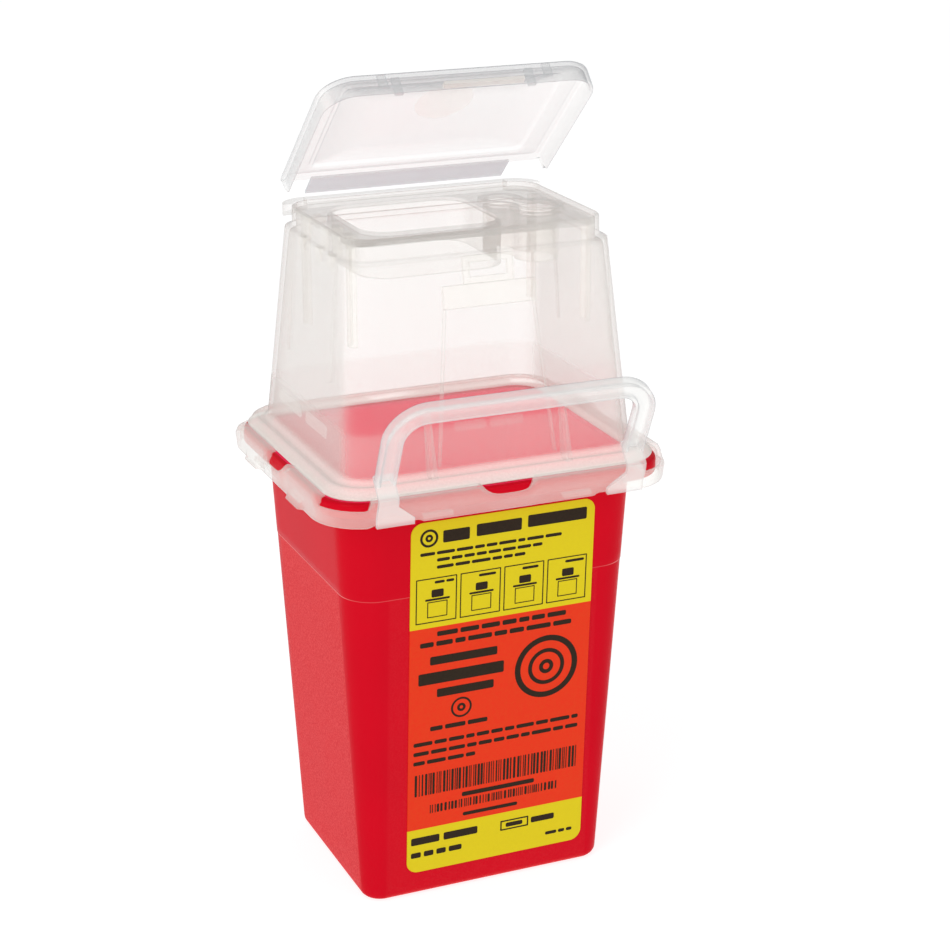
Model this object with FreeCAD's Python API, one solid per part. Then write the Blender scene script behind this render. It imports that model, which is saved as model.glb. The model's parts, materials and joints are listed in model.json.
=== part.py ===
import FreeCAD, Part
import math
import os

# Sharps container: a tapered bin and a translucent snap-on top with a lid and a bail handle.
# Millimetres. Origin at the middle of the bin's foot, +Z up, -Y the front (label and handle side).

V = FreeCAD.Vector
X_AXIS = V(1, 0, 0)
TINY = 0.001

# ---- bin ----
BIN_FOOT = (43.4, 34.7, 7.0)            # half width, half depth and corner radius at the floor
BIN_TOP = (51.5, 42.9, 12.5)            # the same at the top of the wall
BIN_WALL_TOP = 146.7
BIN_WALL = 2.0
BIN_FLOOR = 2.6
RIM = (58.4, 50.2, 14.6)                # outline of the flanged rim
RIM_PLATE = 2.0
RIM_LIP = (143.6, 1.6)                  # lower edge and thickness of the turned-down lip
LABEL_X = (-29.7, 34.8)
LABEL_Z = (9.1, 137.1)
LABEL_RADIUS = 4.0
LABEL_THICK = 0.25

# ---- dome of the top ----
DOME_Y = 0.5                            # the dome stands a little behind the bin's middle
DOME_FOOT = (50.4, 42.9, 9.4)
DOME_SHOULDER = (45.7, 33.7, 9.5)
DOME_FOOT_Z = 153.7
SHOULDER_Z = 220.0
DOME_WALL = 1.6
LEDGE_THICK = 1.4
DECK_RIM = (44.1, 30.8, 9.0)
DECK_RIM_WALL = 1.4
DECK_RIM_Z = 226.7
DECK_TOP_Z = 225.3
DECK_THICK = 1.3
DEPOSIT = (-9.5, 3.5, 23.5, 20.5, 9.0)  # centre x, y, half width, half depth, corner radius
CHUTE_Z = 210.5
CHUTE_WALL = 1.3
WELL_Z = 209.0
KEYHOLE = ((23.5, 9.0, 4.5), (30.5, -4.5, 6.0))   # the unwinder's two lobes: x, y, radius
KEYHOLE_NECK = 5.0
PLATE_BORDER = 3.0
PLATE_GAP = 0.2                         # the keyhole's lip stops this far below the deck's rim
CLIP_SLOT_HALF = 2.0
CLIP_SLOT_DEPTH = 0.8
PILLAR_YS = (7.0, -9.0, -20.0)
PILLAR_HALF = 2.3
PILLAR_REACH = 5.0
PILLAR_COVER = 0.9                      # thickness of the cover over the rim
PILLAR_FOOT = ((0.9, 0.7), (3.0, 0.5), (2.7, -4.0), (1.5, 0.0), (0.9, 0.0))   # out from the rim, up
POST_RADIUS = 2.4
POST_WALL = 0.9
POSTS = ((-39.6, -21.5, 191.0), (39.6, -21.5, 191.0), (-39.6, 20.5, 188.0), (39.6, 20.5, 188.0))
LEDGE_SIDE = 0.7                        # the hinge ledge is this much wider than the lid's strip
LEDGE_DEPTH = 2.0
LEDGE_GAP = 0.4
EAR = (46.0, 9.5)                       # half width and corner radius of the ledge's rounded ends
EAR_FRONT = 26.4
EAR_DEPTH = 3.6
FRAME_SIZE = (8.5, 211.4, 220.2, 1.5)   # half width, low, high and proud of the front wall
FRAME_LINE = 2.1
BAR_SIZE = (15.7, 204.2, 211.4, 2.0)    # the same for the bar under the frame
RIB_FOOT_X = 19.4
RIB_TOP_X = 14.7
RIB_WIDE = 1.0
RIB_PROUD = 0.8
RIB_FOOT_RISE = 1.5
SIDE_RIB_YS = (-23.8, 16.4)
SIDE_RIB_HALF = 0.6
SIDE_RIB_Z = (181.0, 219.0)
REST_XS = (-23.2, 23.2)
REST_HALF = 1.1
REST_TOP = 172.0
REST_PROUD = 0.8
REST_FOOT_Y = -47.2

# ---- collar that snaps over the bin's rim ----
FLANGE = (56.8, 49.0, 13.0)
FLANGE_Z = (150.6, 152.2)
COLLAR = (61.0, 52.8, 16.0)
COLLAR_WALL = 1.2
COLLAR_Z = (141.5, 150.4)
COLLAR_PLATE = 1.3
SHELF_REACH = 2.5
BUMPER_Z = 147.2                        # the corner bumpers are lower: windows open above them
CORNER = (46.0, 38.0)                   # where the straight sides end and the corners begin
CORNER_GAP = 4.0                        # the sides' pieces start this far inside the corner's plane
WINDOW_HALF = 8.6
WINDOW_DEPTH = 4.2
STEP_LONG = 13.0                        # the front skirt is shorter beside the handle's hinges
STEP_HIGH = 1.3
WINDOW_Z = (146.6, 151.0)
HOOK_Z = (141.9, 143.3)
HOOK_REACH = 2.0
HOOK_HALF = 5.0
HOOK_XS = (-24.0, 24.0)
HOOK_YS = (-18.0, 18.0)
TAB_YS = (-21.0, 20.0)
TAB_HALF = 7.5
TAB_REACH = 1.3
TAB_THICK = 1.4

# ---- lid, drawn closed with its hinge line at the origin and then opened ----
HINGE = (35.6, 227.7)                   # y and z of the lid's living hinge
LID_OPEN_DEG = 42.5                     # how far the lid stands open at rest
LID_HALF = 46.4
LID_FRONT = 68.8                        # hinge line to the outside of the front skirt
LID_RADIUS = 11.0
LID_WALL = 1.2
LID_PLATE = (-0.5, 0.7)                 # underside and top of the lid's plate above the hinge line
LID_SKIRT = -6.6
LID_BACK = 9.8                          # where the full width begins
STRIP_HALF = 35.3
STRIP_START = 0.5
PANEL_HALF = 37.6
PANEL_FRONT = 62.5
PANEL_RAISE = 0.9
PANEL_RADIUS = 2.5
SKIRT_PAST_BACK = 2.0                   # the skirt stops this far short of the plate's back edge
STRIP_INSET = 0.2                       # the strip is this much thinner on each face
CLIP_X = (-22.4, 22.4)
CLIP_HALF = 1.3
CLIP_DEPTH = 1.3
CLIP_RISE = 0.2
PEG_X = (-27.7, 27.7)
PEG_HALF = 1.4
PEG_PROUD = 0.9
PEG_RISE = 1.5
THUMB_X = (-8.5, 18.5)
THUMB_REACH = 2.2
THUMB_THICK = 1.2
GATE = (-0.7, 50.3, 9.6)                # x, distance from the hinge and radius of the round mark
GATE_THICK = 0.3

# ---- handle ----
BAIL_BASE = (-50.7, 155.0)              # y and z of the foot of the bow's back face
BAIL_LEAN_DEG = 24.2
BAIL_HALF = 45.7
BAIL_HEIGHT = 32.2
BAIL_RADIUS = 13.8
BAIL_BAND = 6.6
BAIL_DEPTH = 4.0
BAIL_FLANGE = 1.3
BAIL_FOOT = 2.5                         # the legs are cut this far up from the base point
STRAP_OUTER = ((-51.9, 158.6), (-55.0, 154.6), (-57.0, 151.8),    # y and z, from the bow down
               (-56.7, 149.9), (-55.0, 145.4), (-54.6, 142.0))
STRAP_THICK = 1.3
STRAP_FLARE = 33.2                      # x of the inner corner where the strap is widest
FLARE_Z = (143.4, 149.0)                # heights where the flare starts and ends

# ---- cutting blocks ----
FAR = 80.0                              # beyond every side of the part
PAST = 1.0                              # how far a cutting block runs past a face


def outline(half_x, half_y, radius, z, centre_x=0.0, centre_y=0.0):
    """A rounded rectangle as a closed wire: four straight runs and four quarter circles."""
    corners = []
    for turn, (sign_x, sign_y) in enumerate(((1, 1), (-1, 1), (-1, -1), (1, -1))):
        centre = V(centre_x + sign_x * (half_x - radius), centre_y + sign_y * (half_y - radius), z)
        angles = [math.radians(90 * turn + step) for step in (0, 45, 90)]
        corners.append([centre + V(radius * math.cos(a), radius * math.sin(a), 0) for a in angles])
    edges = []
    for corner, after in zip(corners, corners[1:] + corners[:1]):
        edges.append(Part.Arc(*corner).toShape())
        if corner[2].distanceToPoint(after[0]) > TINY:
            edges.append(Part.LineSegment(corner[2], after[0]).toShape())
    return Part.Wire(edges)


def prism(half_x, half_y, radius, low, high, centre_x=0.0, centre_y=0.0):
    """A rounded rectangle carried straight up from low to high."""
    wire = outline(half_x, half_y, radius, low, centre_x, centre_y)
    return Part.Face(wire).extrude(V(0, 0, high - low))


def at_height(foot, top, z, z_foot, z_top, inset=0.0):
    """The section (half width, half depth, radius) of a taper at height z, moved in by inset."""
    share = (z - z_foot) / (z_top - z_foot)
    section = [a + (b - a) * share for a, b in zip(foot, top)]
    return section[0] - inset, section[1] - inset, max(section[2] - inset, 1.0)


def taper(foot, top, low, high, centre_y=0.0):
    """A solid between two rounded rectangles."""
    wires = [outline(*foot, low, 0.0, centre_y), outline(*top, high, 0.0, centre_y)]
    return Part.makeLoft(wires, True, True)


def box(x0, x1, y0, y1, z0, z1):
    """A box between opposite corners."""
    return Part.makeBox(x1 - x0, y1 - y0, z1 - z0, V(x0, y0, z0))


def sheet(corners):
    """A flat face between corners in order."""
    return Part.Face(Part.makePolygon(corners + corners[:1]))


def bar(points, x0, x1):
    """A polygon of (y, z) points carried along X from x0 to x1."""
    return sheet([V(x0, y, z) for y, z in points]).extrude(V(x1 - x0, 0, 0))


def mirrored(shape):
    """The same shape on the other side of the middle plane."""
    return shape.mirror(V(0, 0, 0), X_AXIS)


# ---------------------------------------------------------------- bin

def bin_section(z, inset=0.0):
    return at_height(BIN_FOOT, BIN_TOP, z, 0.0, BIN_WALL_TOP, inset)


def bin_shell():
    outer = taper(bin_section(0), bin_section(BIN_WALL_TOP), 0, BIN_WALL_TOP)
    foot, top = bin_section(BIN_FLOOR, BIN_WALL), bin_section(BIN_WALL_TOP, BIN_WALL)
    return outer.cut(taper(foot, top, BIN_FLOOR, BIN_WALL_TOP))


def bin_rim():
    """A flange on the wall's top edge with a lip turned down all the way round."""
    lip_low, lip_wall = RIM_LIP
    top = BIN_WALL_TOP + RIM_PLATE
    body = prism(*RIM, lip_low, top)
    under = prism(RIM[0] - lip_wall, RIM[1] - lip_wall, RIM[2] - lip_wall, lip_low, BIN_WALL_TOP)
    mouth = prism(*bin_section(BIN_WALL_TOP, BIN_WALL), BIN_WALL_TOP, top)
    return body.cut(under).cut(mouth)


def front_label():
    """A thin rounded sheet on the sloping front wall."""
    lean = math.degrees(math.atan((BIN_TOP[1] - BIN_FOOT[1]) / BIN_WALL_TOP))
    middle_x = (LABEL_X[0] + LABEL_X[1]) / 2
    middle_z = (LABEL_Z[0] + LABEL_Z[1]) / 2
    half_x = (LABEL_X[1] - LABEL_X[0]) / 2
    half_z = (LABEL_Z[1] - LABEL_Z[0]) / 2
    paper = prism(half_x, half_z, LABEL_RADIUS, 0, LABEL_THICK)
    paper.rotate(V(0, 0, 0), X_AXIS, 90 + lean)
    paper.translate(V(middle_x, -bin_section(middle_z)[1], middle_z))
    return paper


# ---------------------------------------------------------------- dome

def dome_section(z, inset=0.0):
    return at_height(DOME_FOOT, DOME_SHOULDER, z, DOME_FOOT_Z, SHOULDER_Z, inset)


def dome_solid(inset, low, high):
    return taper(dome_section(low, inset), dome_section(high, inset), low, high, DOME_Y)


def dome_shell():
    """The tapered hood and the ledge at its shoulder, open where the deck's rim stands."""
    outer = dome_solid(0.0, FLANGE_Z[0], SHOULDER_Z)
    inner = dome_solid(DOME_WALL, FLANGE_Z[0], SHOULDER_Z - LEDGE_THICK)
    mouth = prism(*DECK_RIM, SHOULDER_Z - 2 * LEDGE_THICK, SHOULDER_Z, 0.0, DOME_Y)
    return outer.cut(inner).cut(mouth)


def rim_inner():
    return tuple(side - DECK_RIM_WALL for side in DECK_RIM)


def rim_wall():
    """The upstand round the deck, with two slots at the front that take the lid's clips."""
    low = SHOULDER_Z - LEDGE_THICK
    ring = prism(*DECK_RIM, low, DECK_RIM_Z, 0.0, DOME_Y)
    ring = ring.cut(prism(*rim_inner(), low, DECK_RIM_Z, 0.0, DOME_Y))
    front = DOME_Y - DECK_RIM[1]
    for x in CLIP_X:
        slot = box(x - CLIP_SLOT_HALF, x + CLIP_SLOT_HALF, front - PAST, front + CLIP_SLOT_DEPTH,
                   SHOULDER_Z, DECK_RIM_Z)
        ring = ring.cut(slot)
    return ring


def keyhole(border, low, high):
    """Two round lobes joined by a straight neck, each side moved out by border."""
    (x1, y1, r1), (x2, y2, r2) = KEYHOLE
    height = high - low
    shape = Part.makeCylinder(r1 + border, height, V(x1, y1, low))
    shape = shape.fuse(Part.makeCylinder(r2 + border, height, V(x2, y2, low)))
    length = math.hypot(x2 - x1, y2 - y1)
    half = KEYHOLE_NECK / 2 + border
    neck = box(0, length, -half, half, low, high)
    neck.rotate(V(0, 0, 0), V(0, 0, 1), math.degrees(math.atan2(y2 - y1, x2 - x1)))
    neck.translate(V(x1, y1, 0))
    return shape.fuse(neck).removeSplitter()


def deposit(border, low, high):
    x, y, half_x, half_y, radius = DEPOSIT
    return prism(half_x + border, half_y + border, radius + border, low, high, x, y)


def top_deck():
    low = DECK_TOP_Z - DECK_THICK
    plate = prism(*rim_inner(), low, DECK_TOP_Z, 0.0, DOME_Y)
    return plate.cut(deposit(0.0, low, DECK_TOP_Z)).cut(keyhole(0.0, low, DECK_TOP_Z))


def deposit_chute():
    """A short wall that hangs under the edge of the deposit opening."""
    high = DECK_TOP_Z - DECK_THICK
    return deposit(CHUTE_WALL, CHUTE_Z, high).cut(deposit(0.0, CHUTE_Z, high))


def left_pillars():
    """Three gutters over the left of the deck's rim, each with a small foot on the shoulder."""
    wall = DECK_RIM[0]
    pillars = []
    for y in PILLAR_YS:
        low_y, high_y = y - PILLAR_HALF, y + PILLAR_HALF
        cover = box(-wall - PILLAR_COVER, -wall, low_y, high_y, SHOULDER_Z, DECK_RIM_Z)
        inside = box(-wall + DECK_RIM_WALL, -wall + PILLAR_REACH, low_y, high_y, DECK_TOP_Z, DECK_RIM_Z)
        corners = [V(-wall - out, low_y, SHOULDER_Z + up) for out, up in PILLAR_FOOT]
        foot = sheet(corners).extrude(V(0, 2 * PILLAR_HALF, 0))
        outside = cover.fuse(foot.cut(dome_solid(0.0, FLANGE_Z[0], SHOULDER_Z))).removeSplitter()
        outside = outside.cut(prism(*DECK_RIM, SHOULDER_Z - LEDGE_THICK, DECK_RIM_Z, 0.0, DOME_Y))
        inside = inside.common(prism(*rim_inner(), DECK_TOP_Z, DECK_RIM_Z, 0.0, DOME_Y))
        pillars += [outside, inside.cut(deposit(0.0, DECK_TOP_Z, DECK_RIM_Z))]
    return Part.makeCompound(pillars)


def unwinder_plate():
    """A raised lip round the needle unwinder's keyhole."""
    high = DECK_RIM_Z - PLATE_GAP
    lip = keyhole(PLATE_BORDER, DECK_TOP_Z, high).cut(keyhole(0.0, DECK_TOP_Z, high))
    return lip.common(prism(*rim_inner(), DECK_TOP_Z, high, 0.0, DOME_Y))


def unwinder_well():
    high = DECK_TOP_Z - DECK_THICK
    return keyhole(CHUTE_WALL, WELL_Z, high).cut(keyhole(0.0, WELL_Z, high))


def hinge_ledge():
    """The shelf behind the deck's rim that carries the lid's hinge."""
    half = STRIP_HALF + LEDGE_SIDE
    front, back = DOME_Y + DECK_RIM[1], HINGE[0] - LEDGE_GAP
    return box(-half, half, front, back, DECK_RIM_Z - LEDGE_DEPTH, DECK_RIM_Z)


def rear_ears():
    """The ledge's two rounded ends, which wrap round the rear corners of the deck's rim."""
    half_x, radius = EAR
    low = DECK_RIM_Z - EAR_DEPTH
    back = HINGE[0] - LEDGE_GAP
    ring = prism(half_x, back, radius, low, DECK_RIM_Z)
    ring = ring.cut(prism(*DECK_RIM, low, DECK_RIM_Z, 0.0, DOME_Y))
    right = ring.common(box(STRIP_HALF + LEDGE_SIDE, FAR, EAR_FRONT, FAR, low, DECK_RIM_Z))
    return Part.makeCompound([right, mirrored(right)])


def corner_posts():
    """Four half-round channels that hang from the deck near its corners."""
    high = DECK_TOP_Z - DECK_THICK
    posts = []
    for x, y, low in POSTS:
        tube = Part.makeCylinder(POST_RADIUS, high - low, V(x, y, low))
        tube = tube.cut(Part.makeCylinder(POST_RADIUS - POST_WALL, high - low, V(x, y, low)))
        outer = x + math.copysign(2 * POST_RADIUS, x)
        half = box(min(x, outer), max(x, outer), y - 2 * POST_RADIUS, y + 2 * POST_RADIUS, low, high)
        posts.append(tube.common(half))
    return Part.makeCompound(posts)


def front_lean():
    rise = SHOULDER_Z - DOME_FOOT_Z
    return math.degrees(math.atan((DOME_FOOT[1] - DOME_SHOULDER[1]) / rise))


def on_front(shape):
    """Lay a shape drawn on the plane y = 0 (outward = -Y) on the dome's sloping front wall."""
    shape = shape.copy()
    shape.rotate(V(0, 0, DOME_FOOT_Z), X_AXIS, -front_lean())
    shape.translate(V(0, DOME_Y - DOME_FOOT[1], 0))
    return shape


def front_frame():
    """A raised rectangular frame high on the front wall."""
    half, low, high, proud = FRAME_SIZE
    frame = box(-half, half, -proud, 0, low, high)
    inside = half - FRAME_LINE
    return on_front(frame.cut(box(-inside, inside, -proud, 0, low + FRAME_LINE, high - FRAME_LINE)))


def front_bar():
    """A raised bar under the frame."""
    half, low, high, proud = BAR_SIZE
    return on_front(box(-half, half, -proud, 0, low, high))


def wall_ribs():
    """Two long ribs that spread down the front wall, and two on each side wall."""
    ribs = []
    low, high = DOME_FOOT_Z + RIB_FOOT_RISE, BAR_SIZE[1]
    for side in (-1, 1):
        corners = [V(side * RIB_FOOT_X, 0, low), V(side * (RIB_FOOT_X + RIB_WIDE), 0, low),
                   V(side * (RIB_TOP_X + RIB_WIDE), 0, high), V(side * RIB_TOP_X, 0, high)]
        ribs.append(on_front(sheet(corners).extrude(V(0, -RIB_PROUD, 0))))
    lean = math.degrees(math.atan((DOME_FOOT[0] - DOME_SHOULDER[0]) / (SHOULDER_Z - DOME_FOOT_Z)))
    for y in SIDE_RIB_YS:
        rib = box(0, RIB_PROUD, y - SIDE_RIB_HALF, y + SIDE_RIB_HALF, *SIDE_RIB_Z)
        rib.rotate(V(0, 0, DOME_FOOT_Z), V(0, 1, 0), -lean)
        rib.translate(V(DOME_FOOT[0], 0, 0))
        ribs += [rib, mirrored(rib)]
    return Part.makeCompound(ribs)


def handle_rests():
    """Two gussets from the front wall to the foot flange, behind the bow."""
    foot = FLANGE_Z[1]
    wall_foot = DOME_Y - dome_section(foot)[1]
    wall_top = DOME_Y - dome_section(REST_TOP)[1]
    points = [(wall_foot, foot), (wall_top, REST_TOP), (wall_top - REST_PROUD, REST_TOP), (REST_FOOT_Y, foot)]
    return Part.makeCompound([bar(points, x - REST_HALF, x + REST_HALF) for x in REST_XS])


# ---------------------------------------------------------------- collar

def foot_flange():
    """The plate all round the dome's foot that rests over the bin's rim."""
    plate = prism(*FLANGE, *FLANGE_Z)
    return plate.cut(dome_solid(0.0, FLANGE_Z[0] - PAST, FLANGE_Z[1] + PAST))


def collar_ring():
    """The outer roll and skirt as one ring, before it is split into sides and corners."""
    low, high = COLLAR_Z
    skin = tuple(side - COLLAR_WALL for side in COLLAR)
    ring = prism(*COLLAR, low, high).cut(prism(*skin, low, high - COLLAR_PLATE))
    return ring.cut(prism(*FLANGE, low, high)).fuse(collar_shelf(high - COLLAR_PLATE)).removeSplitter()


def collar_shelf(low):
    """The inner edge of the roll, tucked under the foot flange."""
    high = FLANGE_Z[0]
    inner = tuple(side - SHELF_REACH for side in FLANGE)
    return prism(*FLANGE, low, high).cut(prism(*inner, low, high))


def side_collar(x0, x1, y0, y1):
    low, high = COLLAR_Z
    return collar_ring().common(box(x0, x1, y0, y1, low, high + PAST))


def front_collar():
    side = side_collar(-CORNER[0], CORNER[0], -FAR, -CORNER[1] - CORNER_GAP)
    side = side.cut(box(-WINDOW_HALF, WINDOW_HALF, -FAR, WINDOW_DEPTH - COLLAR[1], *WINDOW_Z))
    low = COLLAR_Z[0]
    step = box(CORNER[0] - STEP_LONG, CORNER[0], -FAR, -FLANGE[1], low, low + STEP_HIGH)
    return side.cut(step).cut(mirrored(step))


def rear_collar():
    side = side_collar(-CORNER[0], CORNER[0], CORNER[1] + CORNER_GAP, FAR)
    return side.cut(box(-WINDOW_HALF, WINDOW_HALF, COLLAR[1] - WINDOW_DEPTH, FAR, *WINDOW_Z))


def right_collar():
    side = side_collar(CORNER[0] + CORNER_GAP, FAR, -CORNER[1], CORNER[1])
    return side.cut(box(COLLAR[0] - WINDOW_DEPTH, FAR, -WINDOW_HALF, WINDOW_HALF, *WINDOW_Z))


def left_collar():
    return mirrored(right_collar())


def front_right_bumper():
    """The rounded corner of the skirt, lower than the sides so that a window opens above it."""
    low = COLLAR_Z[0]
    skin = tuple(side - COLLAR_WALL for side in COLLAR)
    ring = prism(*COLLAR, low, BUMPER_Z).cut(prism(*skin, low, BUMPER_Z))
    return ring.common(box(CORNER[0], FAR, -FAR, -CORNER[1], low, BUMPER_Z))


def rear_right_bumper():
    return front_right_bumper().mirror(V(0, 0, 0), V(0, 1, 0))


def release_tabs():
    """Half-round tabs on the lower edge of the side skirts."""
    tabs = []
    low = COLLAR_Z[0]
    for y in TAB_YS:
        tab = prism(TAB_REACH, TAB_HALF, TAB_REACH, low, low + TAB_THICK, COLLAR[0], y)
        tab = tab.cut(box(0, COLLAR[0], y - TAB_HALF, y + TAB_HALF, low, low + TAB_THICK))
        tabs += [tab, mirrored(tab)]
    return Part.makeCompound(tabs)


def snap_hooks():
    """Eight small wedges inside the skirt that catch under the bin's rim."""
    low, high = HOOK_Z
    face_y = COLLAR[1] - COLLAR_WALL
    face_x = COLLAR[0] - COLLAR_WALL
    hooks = []
    for x in HOOK_XS:
        for side in (-1, 1):
            points = [(side * face_y, low), (side * face_y, high), (side * (face_y - HOOK_REACH), high)]
            hooks.append(bar(points, x - HOOK_HALF, x + HOOK_HALF))
    for y in HOOK_YS:
        corners = [V(face_x, y - HOOK_HALF, low), V(face_x, y - HOOK_HALF, high),
                   V(face_x - HOOK_REACH, y - HOOK_HALF, high)]
        wedge = sheet(corners).extrude(V(0, 2 * HOOK_HALF, 0))
        hooks += [wedge, mirrored(wedge)]
    return Part.makeCompound(hooks)


# ---------------------------------------------------------------- lid

def opened(shape):
    """Turn a piece drawn closed about the hinge line to the lid's angle at rest."""
    shape = shape.copy()
    shape.rotate(V(0, 0, 0), X_AXIS, -LID_OPEN_DEG)
    shape.translate(V(0, HINGE[0], HINGE[1]))
    return shape


def lid_blank(inset, low, high):
    """The lid's outline: rounded at the front, square at the back."""
    depth = LID_FRONT - inset
    half = LID_HALF - inset
    radius = LID_RADIUS - inset
    full = prism(half, depth / 2 + radius, radius, low, high, 0.0, radius - depth / 2)
    return full.common(box(-half, half, -depth, -LID_BACK, low, high))


def panel_blank(low, high):
    middle = -(LID_BACK + PANEL_FRONT) / 2
    half_y = (PANEL_FRONT - LID_BACK) / 2
    return prism(PANEL_HALF, half_y, PANEL_RADIUS, low, high, 0.0, middle)


def lid_panel():
    low, high = LID_PLATE
    return opened(panel_blank(low + PANEL_RAISE, high + PANEL_RAISE))


def lid_frame():
    """The border of the lid's plate round the raised panel."""
    low, high = LID_PLATE
    return opened(lid_blank(0.0, low, high).cut(panel_blank(low, high)))


def lid_skirt():
    low = LID_SKIRT
    high = LID_PLATE[0]
    wall = lid_blank(0.0, low, high).cut(lid_blank(LID_WALL, low, high))
    inside = LID_HALF - LID_WALL
    return opened(wall.cut(box(-inside, inside, -LID_BACK - SKIRT_PAST_BACK, 0, low, high)))


def lid_strip():
    """The flat strip between the living hinge and the plate."""
    low, high = LID_PLATE[0] + STRIP_INSET, LID_PLATE[1] - STRIP_INSET
    return opened(box(-STRIP_HALF, STRIP_HALF, -LID_BACK, -STRIP_START, low, high))


def lid_clips():
    """Two tongues inside the front skirt that press into the rim's slots."""
    inside = LID_WALL - LID_FRONT
    low, high = LID_SKIRT + CLIP_RISE, LID_PLATE[0]
    clips = [box(x - CLIP_HALF, x + CLIP_HALF, inside, inside + CLIP_DEPTH, low, high) for x in CLIP_X]
    return opened(Part.makeCompound(clips))


def lid_pegs():
    """Two short ribs on the outside of the front skirt."""
    low, high = LID_SKIRT + PEG_RISE, LID_PLATE[0]
    pegs = [box(x - PEG_HALF, x + PEG_HALF, -LID_FRONT - PEG_PROUD, -LID_FRONT, low, high) for x in PEG_X]
    return opened(Part.makeCompound(pegs))


def thumb_tab():
    """The lip on the front skirt that a thumb lifts."""
    return opened(box(*THUMB_X, -LID_FRONT - THUMB_REACH, -LID_FRONT, LID_SKIRT, LID_SKIRT + THUMB_THICK))


def gate_mark():
    """The thin round boss under the panel where the mould is filled."""
    x, distance, radius = GATE
    high = LID_PLATE[0] + PANEL_RAISE
    return opened(Part.makeCylinder(radius, GATE_THICK, V(x, -distance, high - GATE_THICK)))


# ---------------------------------------------------------------- handle

def bow_arch(inset, low):
    """The bow's outline drawn flat: an arch with rounded shoulders and its legs cut at low."""
    half = BAIL_HALF - inset
    top = BAIL_HEIGHT - inset
    radius = BAIL_RADIUS - inset
    corner = half - radius
    knee = top - radius
    bend = radius * math.sqrt(0.5)
    left_foot, left_knee, left_top = V(-half, low, 0), V(-half, knee, 0), V(-corner, top, 0)
    right_foot, right_knee, right_top = V(half, low, 0), V(half, knee, 0), V(corner, top, 0)
    edges = [Part.LineSegment(left_foot, left_knee),
             Part.Arc(left_knee, V(-corner - bend, knee + bend, 0), left_top),
             Part.LineSegment(left_top, right_top),
             Part.Arc(right_top, V(corner + bend, knee + bend, 0), right_knee),
             Part.LineSegment(right_knee, right_foot),
             Part.LineSegment(right_foot, left_foot)]
    return Part.Face(Part.Wire([edge.toShape() for edge in edges]))


def handle_bow():
    """An arch of channel section, open to the front and leaning forward."""
    depth = V(0, 0, BAIL_DEPTH)
    body = bow_arch(0.0, BAIL_FOOT).extrude(depth)
    body = body.cut(bow_arch(BAIL_BAND, -PAST).extrude(depth))
    pocket = bow_arch(BAIL_FLANGE, BAIL_FOOT + BAIL_FLANGE).extrude(depth)
    pocket = pocket.cut(bow_arch(BAIL_BAND - BAIL_FLANGE, -PAST).extrude(depth))
    pocket.translate(V(0, 0, BAIL_FLANGE))
    bow = body.cut(pocket)
    bow.rotate(V(0, 0, 0), X_AXIS, 90 + BAIL_LEAN_DEG)
    bow.translate(V(0, BAIL_BASE[0], BAIL_BASE[1]))
    return bow


def strap_profile():
    """The strap's section: the outer line and the same line moved in by its thickness."""
    inner = []
    count = len(STRAP_OUTER)
    for index, (y, z) in enumerate(STRAP_OUTER):
        before = STRAP_OUTER[max(index - 1, 0)]
        after = STRAP_OUTER[min(index + 1, count - 1)]
        run_y, run_z = after[0] - before[0], after[1] - before[1]
        length = math.hypot(run_y, run_z)
        inner.append((y - run_z / length * STRAP_THICK, z + run_y / length * STRAP_THICK))
    return list(STRAP_OUTER) + inner[::-1]


def handle_straps():
    """Two straps from the bow over the collar to the hinges at the skirt's lower edge."""
    inner_edge = BAIL_HALF - BAIL_BAND
    low, high = FLARE_Z
    top = BAIL_BASE[1] + BAIL_HEIGHT
    corners = [V(STRAP_FLARE - PAST, -FAR, low), V(inner_edge, -FAR, high),
               V(inner_edge, -FAR, top), V(STRAP_FLARE - PAST, -FAR, top)]
    waste = sheet(corners).extrude(V(0, FAR, 0))
    strap = bar(strap_profile(), STRAP_FLARE, BAIL_HALF).cut(waste).cut(handle_bow())
    return Part.makeCompound([strap, mirrored(strap)])


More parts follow.
